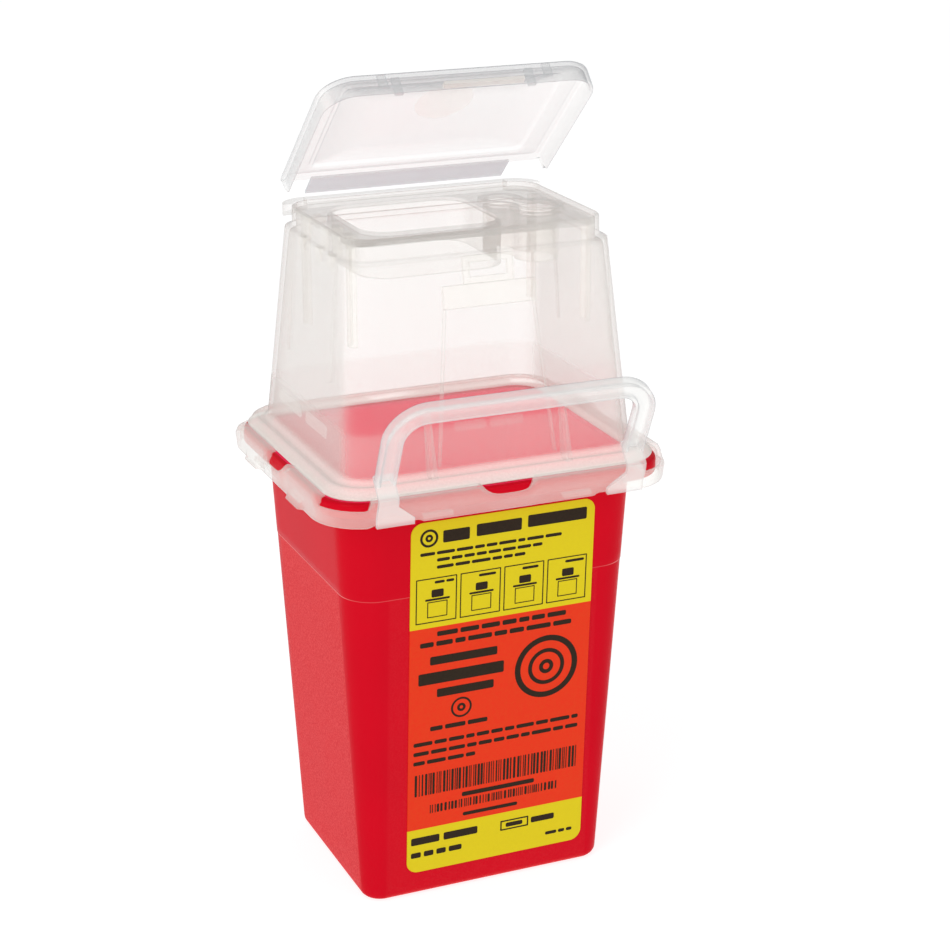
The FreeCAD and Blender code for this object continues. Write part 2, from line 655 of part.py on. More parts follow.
def main():
    os.makedirs("parts", exist_ok=True)
    right_bumpers = {"front": front_right_bumper(), "rear": rear_right_bumper()}
    nodes = {
        "bin_shell": bin_shell(),
        "bin_rim": bin_rim(),
        "front_label": front_label(),
        "dome_shell": dome_shell(),
        "rim_wall": rim_wall(),
        "top_deck": top_deck(),
        "deposit_chute": deposit_chute(),
        "left_pillars": left_pillars(),
        "unwinder_plate": unwinder_plate(),
        "unwinder_well": unwinder_well(),
        "hinge_ledge": hinge_ledge(),
        "rear_ears": rear_ears(),
        "corner_posts": corner_posts(),
        "front_frame": front_frame(),
        "front_bar": front_bar(),
        "wall_ribs": wall_ribs(),
        "handle_rests": handle_rests(),
        "foot_flange": foot_flange(),
        "front_collar": front_collar(),
        "rear_collar": rear_collar(),
        "left_collar": left_collar(),
        "right_collar": right_collar(),
        "release_tabs": release_tabs(),
        "snap_hooks": snap_hooks(),
        "lid_panel": lid_panel(),
        "lid_frame": lid_frame(),
        "lid_skirt": lid_skirt(),
        "lid_strip": lid_strip(),
        "lid_clips": lid_clips(),
        "lid_pegs": lid_pegs(),
        "thumb_tab": thumb_tab(),
        "gate_mark": gate_mark(),
        "handle_bow": handle_bow(),
        "handle_straps": handle_straps(),
    }
    for end, bumper in right_bumpers.items():
        nodes[end + "_right_bumper"] = bumper
        nodes[end + "_left_bumper"] = mirrored(bumper)
    for name, shape in nodes.items():
        shape.exportStep("parts/" + name + ".step")
        size = shape.BoundBox
        print("%-20s solids %d  valid %s  volume %9.1f  x %.1f..%.1f  y %.1f..%.1f  z %.1f..%.1f" % (
            name, len(shape.Solids), shape.isValid(), shape.Volume,
            size.XMin, size.XMax, size.YMin, size.YMax, size.ZMin, size.ZMax))


main()
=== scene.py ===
import json
import math

import bmesh
import bpy
import numpy as np
from bpy.props import FloatProperty, FloatVectorProperty, IntProperty, PointerProperty
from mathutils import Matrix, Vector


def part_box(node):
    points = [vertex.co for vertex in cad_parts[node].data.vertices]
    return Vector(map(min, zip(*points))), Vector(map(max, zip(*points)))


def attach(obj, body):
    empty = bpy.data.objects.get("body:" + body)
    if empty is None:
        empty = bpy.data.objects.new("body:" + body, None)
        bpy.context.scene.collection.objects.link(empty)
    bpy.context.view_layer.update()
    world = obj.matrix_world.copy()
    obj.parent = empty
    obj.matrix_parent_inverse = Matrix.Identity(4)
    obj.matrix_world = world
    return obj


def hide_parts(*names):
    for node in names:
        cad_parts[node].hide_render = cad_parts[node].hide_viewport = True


bl_info = {
    "name": "Sharps container",
    "version": (1, 0, 0),
    "blender": (4, 5, 0),
    "location": "3D View > Sidebar > Container",
    "description": "Builds a sharps container's bin, label, clear top, lid and handle round its CAD frame",
    "category": "Object",
}

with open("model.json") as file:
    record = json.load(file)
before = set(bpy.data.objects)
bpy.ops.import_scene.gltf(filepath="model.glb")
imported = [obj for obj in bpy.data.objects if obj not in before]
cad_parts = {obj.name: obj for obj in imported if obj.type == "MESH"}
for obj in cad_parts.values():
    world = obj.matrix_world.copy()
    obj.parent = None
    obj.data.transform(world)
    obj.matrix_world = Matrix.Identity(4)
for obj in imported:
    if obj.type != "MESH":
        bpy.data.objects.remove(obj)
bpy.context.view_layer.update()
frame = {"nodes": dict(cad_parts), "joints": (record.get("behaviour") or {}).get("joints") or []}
MM = 0.001
JOINTS = {joint["name"]: joint for joint in frame["joints"]}

# Sizes in millimetres, in the frame of the CAD model. A taper's size is its half width, half depth
# and corner radius.
WALL_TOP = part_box("bin_shell")[1].z / MM
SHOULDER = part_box("dome_shell")[1].z / MM
DECK_RIM_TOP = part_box("rim_wall")[1].z / MM
LABEL_X = (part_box("front_label")[0].x / MM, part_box("front_label")[1].x / MM)
LABEL_Z = (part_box("front_label")[0].z / MM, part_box("front_label")[1].z / MM)
HINGE = tuple(value / MM for value in JOINTS["lid_hinge"]["pos_m"])
LID_OPEN = -JOINTS["lid_hinge"]["range_deg"][0]
BIN_FOOT = np.array((43.4, 34.7, 7.0))
BIN_TOP = np.array((51.5, 42.9, 12.5))
BIN_WALL = 2.0
STEP_PROUD = 0.15                # how far the polished upper part stands out past the grained faces
FOOT_EDGE = 3.0                  # radius of the bin's foot
RIM_MOUTH = np.array((49.5, 40.9, 10.5))
RIM_OUTSIDE = np.array((58.4, 50.2, 14.6))
DOME_Y = 0.5                     # the dome's middle lies this far behind the bin's
DOME_FOOT_Z = 153.7
DOME_FOOT = np.array((50.4, 42.9, 9.4))
DOME_TOP = np.array((45.7, 33.7, 9.5))
DOME_WALL = 1.6
FLANGE = np.array((56.8, 49.0, 13.0))
WINDOW_HALF = 9.8                # half the width of the openings in the collar
LID_HALF = 46.4
LID_FRONT = 68.8                 # from the hinge line to the lid's front edge
LID_BACK = 9.8                   # from the hinge line to the lid's back edge
LID_RADIUS = 11.0
LID_BACK_RADIUS = 1.5
BOW_HALF = 45.7
BOW_TALL = 32.2
BOW_RADIUS = 13.8
BOW_FOOT = (-50.7, 155.0)        # y and z of the middle of the arch's foot line
BOW_LEAN = 24.2                  # degrees forward from upright


# ---------------------------------------------------------------- shapes as arrays

def smooth(value, low, high):
    """Zero below low, one above high and an S-shaped cubic between them."""
    share = np.clip((value - low) / (high - low), 0.0, 1.0)
    return share * share * (3.0 - 2.0 * share)


def between(foot, top, height, low, high):
    """Half width, half depth and corner radius of a taper: a straight blend with the height."""
    share = (np.asarray(height, float)[..., None] - low) / (high - low)
    return foot + (top - foot) * share


def bin_size(height):
    """Size of the bin's outside at a height."""
    return between(BIN_FOOT, BIN_TOP, height, 0.0, WALL_TOP)


def dome_size(height):
    """Size of the dome's outside at a height."""
    return between(DOME_FOOT, DOME_TOP, height, DOME_FOOT_Z, SHOULDER)


def rings(sizes, heights, centre_y=0.0, arc=12, side=20):
    """Rounded rectangles, one for each height: quarter circles of the given radius about the four
    corner centres, joined by straight runs cut into equal steps. Rows go with the height and
    columns go round, anticlockwise seen from above."""
    sizes = np.asarray(sizes, float)
    heights = np.asarray(heights, float)
    centre_y = np.broadcast_to(np.asarray(centre_y, float), heights.shape)
    signs = np.array(((1, 1), (-1, 1), (-1, -1), (1, -1)), float)
    angle = np.linspace(0, np.pi / 2, arc)[None, :] + np.arange(4)[:, None] * np.pi / 2
    round_part = np.stack((np.cos(angle), np.sin(angle)), -1)
    inner = sizes[:, None, :2] - sizes[:, None, 2:3]
    corners = (signs[None] * inner)[:, :, None, :] + sizes[:, None, None, 2:3] * round_part[None]
    after = np.roll(corners[:, :, 0], -1, axis=1)[:, :, None, :]
    share = np.linspace(0, 1, side + 2)[1:-1, None]
    runs = corners[:, :, -1][:, :, None, :] * (1 - share) + after * share
    flat = np.concatenate((corners, runs), axis=2).reshape(len(sizes), -1, 2)
    points = np.empty(flat.shape[:2] + (3,))
    points[..., :2] = flat
    points[..., 1] += centre_y[:, None]
    points[..., 2] = heights[:, None]
    return points


def grid_faces(rows, columns, close_rows, close_columns, first=0):
    """Quads between neighbouring points of a grid, running round where a direction is closed."""
    row = np.arange(rows if close_rows else rows - 1)
    column = np.arange(columns if close_columns else columns - 1)
    row, column = np.meshgrid(row, column, indexing="ij")
    below, beside = (row + 1) % rows, (column + 1) % columns
    quads = np.stack((row * columns + column, row * columns + beside,
                      below * columns + beside, below * columns + column), -1)
    return (quads.reshape(-1, 4) + first).tolist()


def piece(name, points, body, nodes, finish, close_rows=False, caps=(), crease=35.0):
    """One object from one or more grids of points in millimetres, whose columns run round. Caps
    names the ends ("first", "last") that a flat face shuts. It stands for the named CAD nodes and
    rides on their body. Edges sharper than crease, in degrees, stay sharp."""
    grids = points if isinstance(points, list) else [points]
    faces, first = [], 0
    for grid in grids:
        rows, columns = grid.shape[:2]
        faces += grid_faces(rows, columns, close_rows, True, first)
        if "first" in caps:
            faces.append([first + index for index in range(columns)][::-1])
        if "last" in caps:
            faces.append([first + (rows - 1) * columns + index for index in range(columns)])
        first += rows * columns
    vertices = np.concatenate([grid.reshape(-1, 3) for grid in grids]) * MM
    mesh = bpy.data.meshes.new(name)
    mesh.from_pydata(vertices.tolist(), [], faces)
    work = bmesh.new()
    work.from_mesh(mesh)
    bmesh.ops.recalc_face_normals(work, faces=work.faces)
    work.to_mesh(mesh)
    work.free()
    mesh.polygons.foreach_set("use_smooth", np.ones(len(mesh.polygons), bool))
    mesh.set_sharp_from_angle(angle=math.radians(crease))
    mesh.materials.append(material(finish))
    made = bpy.data.objects.new(name, mesh)
    bpy.context.collection.objects.link(made)
    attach(made, body)
    if nodes:
        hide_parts(*nodes)


# ---------------------------------------------------------------- materials

# Metres, as materials read places in metres.
GRAIN_HALF_X = 0.036             # half the grained width of the front and back faces
GRAIN_HALF_Y = 0.028             # half the grained width of the side faces
GRAIN_FADE = 0.0015              # width over which the grain fades out
FOOT_ROLL_TOP = 0.1535           # top of the dome's foot roll
LID_BAND = 0.064                 # where the lid's fuller front edge starts, from the hinge
INDIRECT_CUT = 0.88              # share of the cover that shadows and bounced light don't meet
POLISHED = 0.16                  # roughness of the smooth clear plastic


def node(tree, kind, inputs=None, **settings):
    """A shader node with its settings made and its inputs given a number, a colour or a link."""
    made = tree.nodes.new("ShaderNode" + kind)
    for name, value in settings.items():
        setattr(made, name, value)
    for name, value in (inputs or {}).items():
        if isinstance(value, bpy.types.NodeSocket):
            tree.links.new(value, made.inputs[name])
        else:
            made.inputs[name].default_value = value
    return made


def sums(tree, operation, first, second=0.0):
    """The result of one arithmetic operation on numbers or links."""
    return node(tree, "Math", {0: first, 1: second}, operation=operation).outputs[0]


def blend_colours(tree, share, first, second):
    """The first colour where the share is zero and the second where it is one."""
    mix = node(tree, "Mix", {0: share}, data_type="RGBA")
    for socket, value in ((mix.inputs[6], first), (mix.inputs[7], second)):
        if isinstance(value, bpy.types.NodeSocket):
            tree.links.new(value, socket)
        else:
            socket.default_value = value
    return mix.outputs[2]


def ramp(tree, value, low, high):
    """Zero at low and one at high, clamped, with a smooth step."""
    return node(tree, "MapRange", {"Value": value, "From Min": low, "From Max": high},
                interpolation_type="SMOOTHSTEP").outputs[0]


def colour(value):
    """A panel colour with full cover added."""
    return tuple(value) + (1.0,)


def new_material(name, **inputs):
    """An empty material with one plastic or paper shader, whose named inputs are set."""
    material = bpy.data.materials.new(name)
    material.use_nodes = True
    tree = material.node_tree
    tree.nodes.clear()
    shader = node(tree, "BsdfPrincipled", inputs)
    out = node(tree, "OutputMaterial")
    tree.links.new(shader.outputs[0], out.inputs[0])
    return material, tree, shader


def bump(tree, shader, height, strength, distance):
    """Fine relief: the height pattern, as deep as distance in metres."""
    made = node(tree, "Bump", {"Height": height, "Strength": strength, "Distance": distance})
    tree.links.new(made.outputs[0], shader.inputs["Normal"])


def crimson_plastic(settings):
    """Glossy moulded polypropylene. Below the step the four faces carry a fine grain that stops
    short of the corners; corners and everything above the step are polished. The grained faces
    carry a painted sheen, a lighter red where they are seen at a slant, and a painted highlight runs
    along the step as a pale line. Faces turned towards the bin's axis carry a painted glow, an
    emission that stands in for the light that comes through the wall."""
    material, tree, shader = new_material("crimson_plastic", **{
        "Specular IOR Level": 0.5, "IOR": 1.06, "Coat Weight": 0.05,
        "Emission Color": colour(settings.inside)})
    coordinates = node(tree, "TexCoord")
    place = coordinates.outputs["Object"]
    parts = node(tree, "SeparateXYZ", {0: place})
    flat = node(tree, "VectorMath", {0: place, 1: (1.0, 1.0, 0.0)}, operation="MULTIPLY").outputs[0]
    outward = node(tree, "VectorMath", {0: flat, 1: coordinates.outputs["Normal"]}, operation="DOT_PRODUCT")
    # Painted glow: faces turned towards the axis emit the inside red, standing in for the light through the
    # wall that brightens the bin's shaded interior.
    inner = ramp(tree, outward.outputs["Value"], 0.004, 0.0)
    tree.links.new(sums(tree, "MULTIPLY", inner, settings.painted_inner_glow), shader.inputs["Emission Strength"])
    low = ramp(tree, parts.outputs["Z"], settings.grain_top + 0.0005, settings.grain_top)
    on_front = ramp(tree, sums(tree, "ABSOLUTE", parts.outputs["X"]), GRAIN_HALF_X + GRAIN_FADE, GRAIN_HALF_X)
    on_side = ramp(tree, sums(tree, "ABSOLUTE", parts.outputs["Y"]), GRAIN_HALF_Y + GRAIN_FADE, GRAIN_HALF_Y)
    grained = sums(tree, "MULTIPLY", low, sums(tree, "MAXIMUM", on_front, on_side))
    fine = node(tree, "TexNoise", {"Vector": place, "Scale": 1700.0, "Detail": 2.0}).outputs[0]
    speck = sums(tree, "ADD", ramp(tree, fine, 0.38, 0.66), 0.55)
    slow = node(tree, "TexNoise", {"Vector": place, "Scale": 26.0, "Detail": 3.0}).outputs[0]
    deep = colour([value * 0.86 for value in settings.crimson])
    # Painted sheen: the grained faces turn a lighter, milkier red mostly where they are seen at a slant,
    # standing in for the sheen the key light raises on the grain; the speckle and the small even share are
    # the grain's own.
    facing = node(tree, "LayerWeight", {"Blend": 0.5}).outputs["Facing"]
    oblique = sums(tree, "ADD", sums(tree, "MULTIPLY", ramp(tree, facing, 0.3, 0.85), 0.72), 0.08)
    grain_and_painted_sheen = sums(tree, "MULTIPLY", sums(tree, "MULTIPLY", oblique, grained), speck)
    even = blend_colours(tree, slow, deep, colour(settings.crimson))
    # Painted highlight: a pale line along the step, stronger where the face is seen at a slant, stands in for
    # light caught by the step's edge.
    off_step = sums(tree, "ABSOLUTE", sums(tree, "SUBTRACT", parts.outputs["Z"], settings.grain_top + 0.0001))
    line = sums(tree, "MULTIPLY", ramp(tree, off_step, 0.00022, 0.00008), sums(tree, "ADD", oblique, 0.1))
    grained_and_sheened = blend_colours(tree, grain_and_painted_sheen, even, colour(settings.grain_and_painted_sheen))
    tree.links.new(blend_colours(tree, line, grained_and_sheened, colour(settings.painted_step_highlight)), shader.inputs["Base Color"])
    rough = sums(tree, "ADD", sums(tree, "MULTIPLY", grained, 0.22), sums(tree, "MULTIPLY", slow, 0.06))
    tree.links.new(sums(tree, "ADD", rough, 0.2), shader.inputs["Roughness"])
    bump(tree, shader, sums(tree, "MULTIPLY", fine, grained), 0.35, 0.0002)
    return material


def clear_plastic(name, tint, edge, see, rim, power, glow, frost_top=None, foot_top=None, far_band=None):
    """Translucent polypropylene as a thin skin: faint (see) where it is looked through squarely,
    fuller (rim) and greyer where it is seen along its surface, rising with the given power, and
    slowly clouded; the greyer edge is painted shade. A weak painted glow of the same tint stands in
    for the light scattered inside the wall. Below foot_top the wall is thicker, so fuller, and its
    painted glow is stronger. Below frost_top it is matt and milkier. Beyond far_band, a distance
    from the hinge along the open lid, it is fuller and greyer."""
    # Painted glow: the emission strength makes the skin shine though it is no lamp.
    material, tree, shader = new_material(name, **{
        "Specular IOR Level": 0.6, "Coat Weight": 0.25, "Coat Roughness": 0.06, "Emission Strength": glow})
    place = node(tree, "TexCoord").outputs["Object"]
    along = node(tree, "LayerWeight", {"Blend": 0.5}).outputs["Facing"]
    along = sums(tree, "POWER", along, power)
    slow = node(tree, "TexNoise", {"Vector": place, "Scale": 45.0, "Detail": 2.0}).outputs[0]
    cover = sums(tree, "ADD", sums(tree, "MULTIPLY", along, rim - see), see)
    cover = sums(tree, "ADD", cover, sums(tree, "MULTIPLY", sums(tree, "SUBTRACT", slow, 0.5), 0.02))
    rough = POLISHED
    if foot_top is not None:
        height = node(tree, "SeparateXYZ", {0: place}).outputs["Z"]
        foot = ramp(tree, height, foot_top + 0.001, foot_top - 0.001)
        cover = sums(tree, "ADD", cover, sums(tree, "MULTIPLY", foot, 0.2))
        # Painted glow: the thick foot roll emits more, so it looks brighter.
        scattered = sums(tree, "ADD", sums(tree, "MULTIPLY", foot, 0.25), glow)
        tree.links.new(scattered, shader.inputs["Emission Strength"])
    if frost_top is not None:
        height = node(tree, "SeparateXYZ", {0: place}).outputs["Z"]
        frost = ramp(tree, height, frost_top + 0.002, frost_top - 0.001)
        speck = node(tree, "TexNoise", {"Vector": place, "Scale": 1500.0, "Detail": 2.0}).outputs[0]
        milk = sums(tree, "MULTIPLY", frost, sums(tree, "ADD", sums(tree, "MULTIPLY", speck, 0.1), 0.03))
        cover = sums(tree, "ADD", cover, milk)
        rough = sums(tree, "ADD", sums(tree, "MULTIPLY", frost, 0.3), POLISHED)
        bump(tree, shader, sums(tree, "MULTIPLY", speck, frost), 0.4, 0.0002)
    # Painted shade and reflection: the grey (blue-grey on lid and handle) colour seen along the surface
    # stands in for the darker reflection and refraction at glancing edges; the fuller cover there is the
    # skin's own.
    shade = blend_colours(tree, along, colour(tint), colour(edge))
    if far_band is not None:
        turn = math.radians(LID_OPEN)
        reach = (0.0, -math.cos(turn), math.sin(turn))
        start = far_band + (HINGE[1] * reach[1] + HINGE[2] * reach[2]) * MM
        away = node(tree, "VectorMath", {0: place, 1: reach}, operation="DOT_PRODUCT").outputs["Value"]
        band = ramp(tree, away, start - 0.0015, start + 0.0015)
        cover = sums(tree, "ADD", cover, sums(tree, "MULTIPLY", band, 0.16))
        shade = blend_colours(tree, sums(tree, "MULTIPLY", band, 0.45), shade, colour(edge))
    tree.links.new(shade, shader.inputs["Base Color"])
    tree.links.new(shade, shader.inputs["Emission Color"])
    path = node(tree, "LightPath")
    light = sums(tree, "MAXIMUM", path.outputs["Is Shadow Ray"], path.outputs["Is Diffuse Ray"])
    cut = sums(tree, "MULTIPLY", light, INDIRECT_CUT)
    cover = sums(tree, "MULTIPLY", cover, sums(tree, "SUBTRACT", 1.0, cut))
    tree.links.new(cover, shader.inputs["Alpha"])
    if isinstance(rough, float):
        shader.inputs["Roughness"].default_value = rough
    else:
        tree.links.new(rough, shader.inputs["Roughness"])
    return material


def label_paper(settings):
    """Printed gloss paper in three bands: yellow, orange-red, and yellow again at the foot."""
    material, tree, shader = new_material("label_paper", **{"Roughness": 0.34, "Specular IOR Level": 0.08})
    place = node(tree, "TexCoord").outputs["Object"]
    height = node(tree, "SeparateXYZ", {0: place}).outputs["Z"]
    above = ramp(tree, height, settings.band_low - 0.00005, settings.band_low + 0.00005)
    below = ramp(tree, height, settings.band_high + 0.00005, settings.band_high - 0.00005)
    fibre = node(tree, "TexNoise", {"Vector": place, "Scale": 900.0, "Detail": 3.0}).outputs[0]
    middle = sums(tree, "MULTIPLY", above, below)
    paper = blend_colours(tree, middle, colour(settings.yellow), colour(settings.orange))
    shade = blend_colours(tree, sums(tree, "MULTIPLY", fibre, 0.12), paper, (0.45, 0.25, 0.02, 1.0))
    tree.links.new(shade, shader.inputs["Base Color"])
    bump(tree, shader, fibre, 0.05, 0.0001)
    return material


def printing_ink(settings):
    """Dark brown ink with a fine speckle."""
    material, tree, shader = new_material("printing_ink", **{"Roughness": 0.4, "Specular IOR Level": 0.08})
    place = node(tree, "TexCoord").outputs["Object"]
    speck = node(tree, "TexNoise", {"Vector": place, "Scale": 1400.0, "Detail": 2.0}).outputs[0]
    lighter = colour([value * 1.6 for value in settings.ink])
    tree.links.new(blend_colours(tree, speck, colour(settings.ink), lighter), shader.inputs["Base Color"])
    return material


def floor_paper(settings):
    """Pale studio paper that shines weakly, so the floor stays nearly white."""
    material, tree, shader = new_material("floor_paper", **{
        "Roughness": 0.9, "Specular IOR Level": 0.0,
        "Emission Color": (1, 1, 1, 1), "Emission Strength": 0.80})
    place = node(tree, "TexCoord").outputs["Object"]
    slow = node(tree, "TexNoise", {"Vector": place, "Scale": 3.0}).outputs[0]
    near = colour(settings.floor)
    far = colour([value * 0.97 for value in settings.floor])
    tree.links.new(blend_colours(tree, slow, near, far), shader.inputs["Base Color"])
    return material


# The clear mouldings: tint, tint seen along the surface (painted edge shade and reflection), cover on top
# of the panel's, fullest cover, power of the rise, painted glow on top of the panel's.
CLEAR_FINISHES = {
    "clear_top": ("cream", "edge_grey", 0.0, 0.72, 1.8, 0.0),
    "clear_detail": ("cream", "edge_grey", 0.0, 0.55, 2.2, 0.0),
    "clear_well": ("cream", "edge_grey", 0.15, 0.6, 2.2, 0.1),
    "clear_collar": ("cream", "edge_grey", 0.07, 0.75, 2.0, 0.15),
    "clear_lid": ("lid_tint", "edge_blue", -0.02, 0.95, 2.8, 0.0),
    "clear_strip": ("strip_tint", "edge_blue", 0.22, 0.8, 2.0, 0.05),
    "clear_tab": ("cream", "edge_grey", 0.25, 0.8, 2.0, 0.0),
    "clear_gate": ("cream", "edge_grey", -0.05, 0.6, 2.0, 0.25),
    "clear_handle": ("lid_tint", "edge_blue", 0.2, 0.8, 1.8, 0.06),
    "raised_mark": ("cream", "cream", -0.05, 0.3, 2.0, 0.0),
}
SOLID_FINISHES = {
    "crimson_plastic": crimson_plastic,
    "label_paper": label_paper,
    "printing_ink": printing_ink,
    "floor_paper": floor_paper,
}
MADE = {}


def material(name):
    """The material of that name, made on first use from the panel's colours."""
    settings = bpy.context.scene.container
    if name not in MADE and name in SOLID_FINISHES:
        MADE[name] = SOLID_FINISHES[name](settings)
    elif name not in MADE:
        tint, edge, cover, rim, power, glow = CLEAR_FINISHES[name]
        places = {"clear_top": {"frost_top": settings.frost_top, "foot_top": FOOT_ROLL_TOP},
                  "clear_lid": {"far_band": LID_BAND}}.get(name, {})
        tint, edge = getattr(settings, tint), getattr(settings, edge)
        MADE[name] = clear_plastic(name, tint, edge, settings.see + cover, rim, power,
                                   settings.glow + glow, **places)
    return MADE[name]


def finish_nodes(name, *nodes):
    """Gives CAD nodes that keep their own shape a finish."""
    for cad in nodes:
        mesh = frame["nodes"][cad].data
        mesh.materials.clear()
        mesh.materials.append(material(name))


# ---------------------------------------------------------------- bin

def bin_grid():
    """The bin's wall as a closed section carried round: up the outside from the foot's rounded
    edge (a quarter circle) past the small step, and down the inside to the floor."""
    turn = np.linspace(0, np.pi / 2, 6)
    foot_z = FOOT_EDGE * (1 - np.sin(turn))[::-1]
    foot_in = (FOOT_EDGE * (1 - np.cos(turn)))[::-1]
    grain_top = bpy.context.scene.container.grain_top / MM
    wall_z = np.concatenate((np.linspace(FOOT_EDGE + 4, grain_top - 0.2, 9), [grain_top, grain_top + 0.25],
                             np.linspace(grain_top + 3, WALL_TOP - 0.3, 5), [WALL_TOP]))
    heights = np.concatenate((foot_z, wall_z))
    sizes = bin_size(heights)
    sizes[:len(foot_z)] -= foot_in[:, None]
    proud = smooth(heights, grain_top - 0.05, grain_top + 0.2) * STEP_PROUD
    sizes += proud[:, None]
    inner_z = np.linspace(WALL_TOP, 4.6, 12)
    inner = bin_size(inner_z) - BIN_WALL
    floor_z = np.array((3.4, 2.8, 2.6))
    floor_size = bin_size(floor_z) - np.array((2.4, 3.2, 4.4))[:, None]
    every = np.concatenate((sizes, inner, floor_size))
    every[:, 2] = np.maximum(every[:, 2], 1.0)
    return rings(every, np.concatenate((heights, inner_z, floor_z)))


def rim_grid():
    """The bin's flange: a closed section between the mouth and the outline, with a shallow groove
    on top and a lip turned down at the outside. Each point is a share of the way out and a height."""
    section = np.array((
        (0.00, 146.72), (0.00, 148.2), (0.03, 148.6), (0.10, 148.7), (0.48, 148.7), (0.55, 148.6),
        (0.60, 148.2), (0.66, 148.2), (0.71, 148.6), (0.78, 148.7), (0.90, 148.7), (0.96, 148.5),
        (0.99, 148.0), (1.00, 147.3), (1.00, 144.2), (0.985, 143.75), (0.95, 143.6), (0.88, 143.6),
        (0.845, 143.8), (0.83, 144.2), (0.82, 146.2), (0.79, 146.6), (0.72, 146.72), (0.30, 146.72)))
    return rings(RIM_MOUTH + (RIM_OUTSIDE - RIM_MOUTH) * section[:, :1], section[:, 1])


# ---------------------------------------------------------------- label

INK_DEPTH = (0.34, 0.41)         # the ink's underside and top, out from the bin's wall
# The plain rings: middle from the label's left edge, middle's height, outer and inner radius.
LABEL_RINGS = ((6.2, 131.4, 3.1, 2.3), (6.2, 131.4, 1.3, 0.5), (49.0, 78.5, 11.4, 9.4),
               (49.0, 78.5, 6.6, 5.2), (49.0, 78.5, 2.6, 1.2), (18.6, 69.0, 3.7, 3.0),
               (18.6, 69.0, 1.5, 0.6))


def front_y(height, proud):
    """Depth of the bin's sloping front wall at a height, moved out by proud."""
    return -(bin_size(height)[..., 1] + proud)


def plate(outline_x, outline_z, low, high, surface):
    """A flat plate with a closed outline on a sloping wall: one loop at each of two distances."""
    rows = [np.stack((outline_x, surface(outline_z, proud), outline_z), -1) for proud in (low, high)]
    return np.stack(rows)


def rounded_loop(x0, x1, z0, z1, radius, steps=5):
    """The outline of a rounded rectangle in the plane of the wall, as x and z."""
    radius = min(radius, (x1 - x0) / 2 - 0.01, (z1 - z0) / 2 - 0.01)
    size = np.array((((x1 - x0) / 2, (z1 - z0) / 2, radius),))
    loop = rings(size, [0.0], arc=steps, side=2)[0]
    return loop[:, 0] + (x0 + x1) / 2, loop[:, 1] + (z0 + z1) / 2


def ring_band(x, z, outer, inner, low, high, surface, steps=56):
    """A flat ring as a closed section of four corners carried round a circle."""
    angle = np.linspace(0, 2 * np.pi, steps, endpoint=False)
    rows = []
    for radius, proud in ((outer, low), (outer, high), (inner, high), (inner, low)):
        height = z + radius * np.sin(angle)
        rows.append(np.stack((x + radius * np.cos(angle), surface(height, proud), height), -1))
    return np.stack(rows)


def words(draw, x0, x1, z, tall, mean):
    """A line of plain word bars between x0 and x1, with random lengths and even gaps."""
    bars, x = [], x0
    while x < x1 - mean * 0.4:
        long = min(mean * draw.uniform(0.55, 1.45), x1 - x)
        bars.append((x, x + long, z, z + tall))
        x += long + tall * 0.55
    return bars


def stripes(draw, x0, x1, z0, z1):
    """A block of upright bars of random widths that stands for no code."""
    bars, x = [], x0
    while x < x1 - 0.4:
        wide = draw.choice((0.3, 0.3, 0.5, 0.8))
        bars.append((x, min(x + wide, x1), z0, z1))
        x += wide + draw.choice((0.3, 0.45, 0.7))
    return bars


def box_outline(x0, x1, z0, z1, line):
    """The four bars of an empty box."""
    return [(x0, x1, z1 - line, z1), (x0, x1, z0, z0 + line),
            (x0, x0 + line, z0, z1), (x1 - line, x1, z0, z1)]


def label_bars(seed):
    """All the label's printed bars, measured from the label's left edge and the bin's foot."""
    draw = np.random.default_rng(seed)
    bars = [(11.0, 20.2, 129.2, 133.4), (22.6, 38.4, 129.6, 133.8), (40.6, 61.6, 130.0, 134.2)]
    for line, (start, end) in enumerate(((3.2, 53.0), (9.0, 46.0), (9.0, 40.0))):
        bars += words(draw, start, end, 125.4 - 2.5 * line, 1.1, 4.6)
    for index in range(4):
        left = 1.9 + 15.4 * index
        bars += box_outline(left, left + 14.2, 101.6, 117.4, 0.35)
        bars += words(draw, left + 6.4, left + 13.2, 115.3, 0.9, 6.0)
        bars += box_outline(left + 4.0, left + 11.0, 103.4, 109.0, 0.3)
        bars += [(left + 3.2, left + 11.8, 109.4, 110.1), (left + 5.4, left + 9.6, 110.5, 113.2)]
    bars += words(draw, 9.5, 55.5, 96.4, 1.7, 6.5) + words(draw, 3.6, 60.6, 92.9, 1.7, 6.5)
    bars += words(draw, 7.2, 31.0, 86.2, 3.0, 24.0) + words(draw, 3.2, 33.5, 79.3, 4.2, 30.0)
    bars += words(draw, 9.8, 30.0, 74.2, 3.0, 22.0) + words(draw, 7.6, 30.2, 62.0, 1.6, 7.0)
    for line, end in enumerate((61.5, 61.5, 24.0)):
        bars += words(draw, 1.8, end, 57.0 - 3.5 * line, 1.4, 5.0)
    bars += stripes(draw, 2.4, 61.8, 38.2, 46.4) + words(draw, 19.5, 46.0, 35.1, 1.6, 26.0)
    bars += stripes(draw, 8.0, 55.0, 31.0, 34.2) + words(draw, 20.0, 40.0, 27.6, 1.3, 20.0)
    bars += words(draw, 1.4, 25.5, 19.7, 2.8, 10.0) + words(draw, 1.4, 21.5, 14.8, 2.0, 6.0)
    bars += box_outline(34.0, 44.4, 18.6, 22.4, 0.5) + words(draw, 36.0, 42.8, 19.7, 1.6, 8.0)
    bars += words(draw, 45.4, 57.4, 19.4, 2.2, 12.0) + words(draw, 51.0, 61.0, 13.4, 1.2, 4.0)
    return bars


# ---------------------------------------------------------------- top

